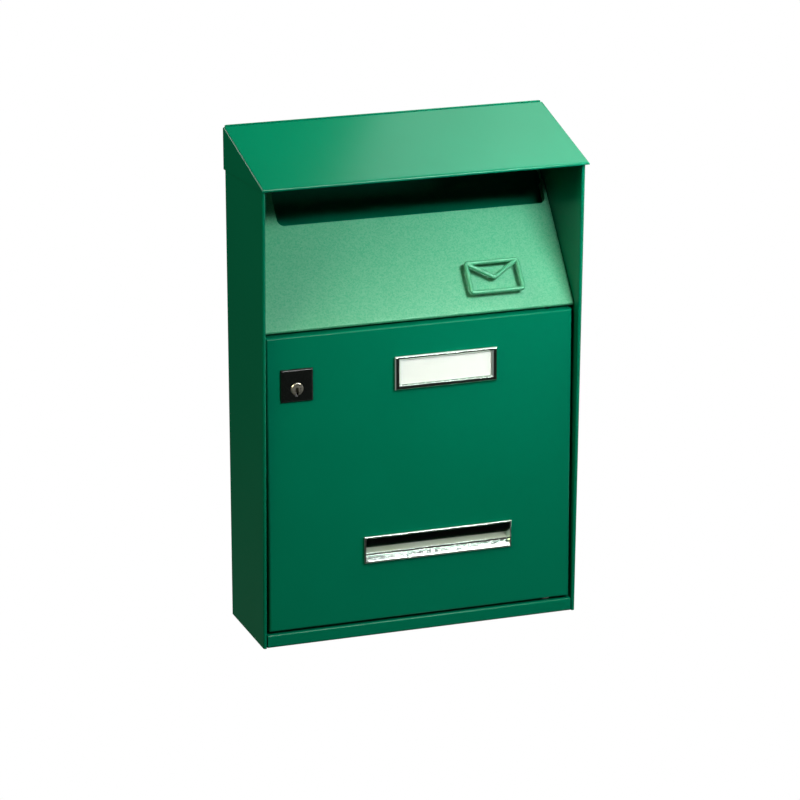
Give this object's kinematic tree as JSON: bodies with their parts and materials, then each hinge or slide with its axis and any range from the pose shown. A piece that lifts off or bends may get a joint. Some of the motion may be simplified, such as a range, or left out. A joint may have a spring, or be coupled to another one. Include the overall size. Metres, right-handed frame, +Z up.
{
  "type": "wall mounted letterbox",
  "caption": "Folded sheet steel letterbox for a wall, with a cap roof, an inclined letter slot, a side-hinged door with a cam lock, a name holder and a viewing window.",
  "frame": {"origin": "middle of the four fixing holes, on the flat face of the back that lies against the wall", "axes": "+Y into the wall, +Z up, +X to the right of a person facing the box; the door opens towards -Y"},
  "size_m": [0.2222, 0.086, 0.3372],
  "materials": {
    "painted_steel": "green powder coat with a fine metallic sparkle, satin",
    "zinc_plated_steel": "zinc plated, dull bright",
    "chromed_plastic": "bright chrome",
    "chromed_zinc": "bright chrome",
    "black_plastic": "moulded, glossy",
    "nylon": "natural, matt",
    "clear_plastic": "clear, glossy",
    "card": "white paper, uncoated"
  },
  "bodies": {
    "case": {"case_wrap": "painted_steel", "roof_cover": "painted_steel", "bottom_tray": "painted_steel", "chute_panel": "painted_steel", "lock_strike": "zinc_plated_steel"},
    "door": {"door_panel": "painted_steel", "hinge_pin_top": "zinc_plated_steel", "hinge_pin_bottom": "zinc_plated_steel", "hinge_washer": "nylon", "name_frame": "chromed_plastic", "name_card": "card", "name_cover": "clear_plastic", "name_clip_left": "zinc_plated_steel", "name_clip_right": "zinc_plated_steel", "window_frame": "chromed_plastic", "window_pane": "clear_plastic", "window_retainer": "black_plastic", "lock_housing": "black_plastic", "lock_nut": "zinc_plated_steel"},
    "lock_rotor": {"lock_plug": "chromed_zinc", "lock_cam": "zinc_plated_steel", "cam_washer": "zinc_plated_steel", "cam_screw": "zinc_plated_steel"}
  },
  "joints": [
    {"name": "door_hinge", "type": "hinge", "parent": "case", "child": "door", "pos_m": [0.0906, -0.064, -0.00615], "axis": [0, 0, 1], "range_deg": [0, 100]},
    {"name": "lock_turn", "type": "hinge", "parent": "door", "child": "lock_rotor", "pos_m": [-0.0855, -0.058, 0.0593], "axis": [0, 1, 0], "range_deg": [0, 90]}
  ]
}
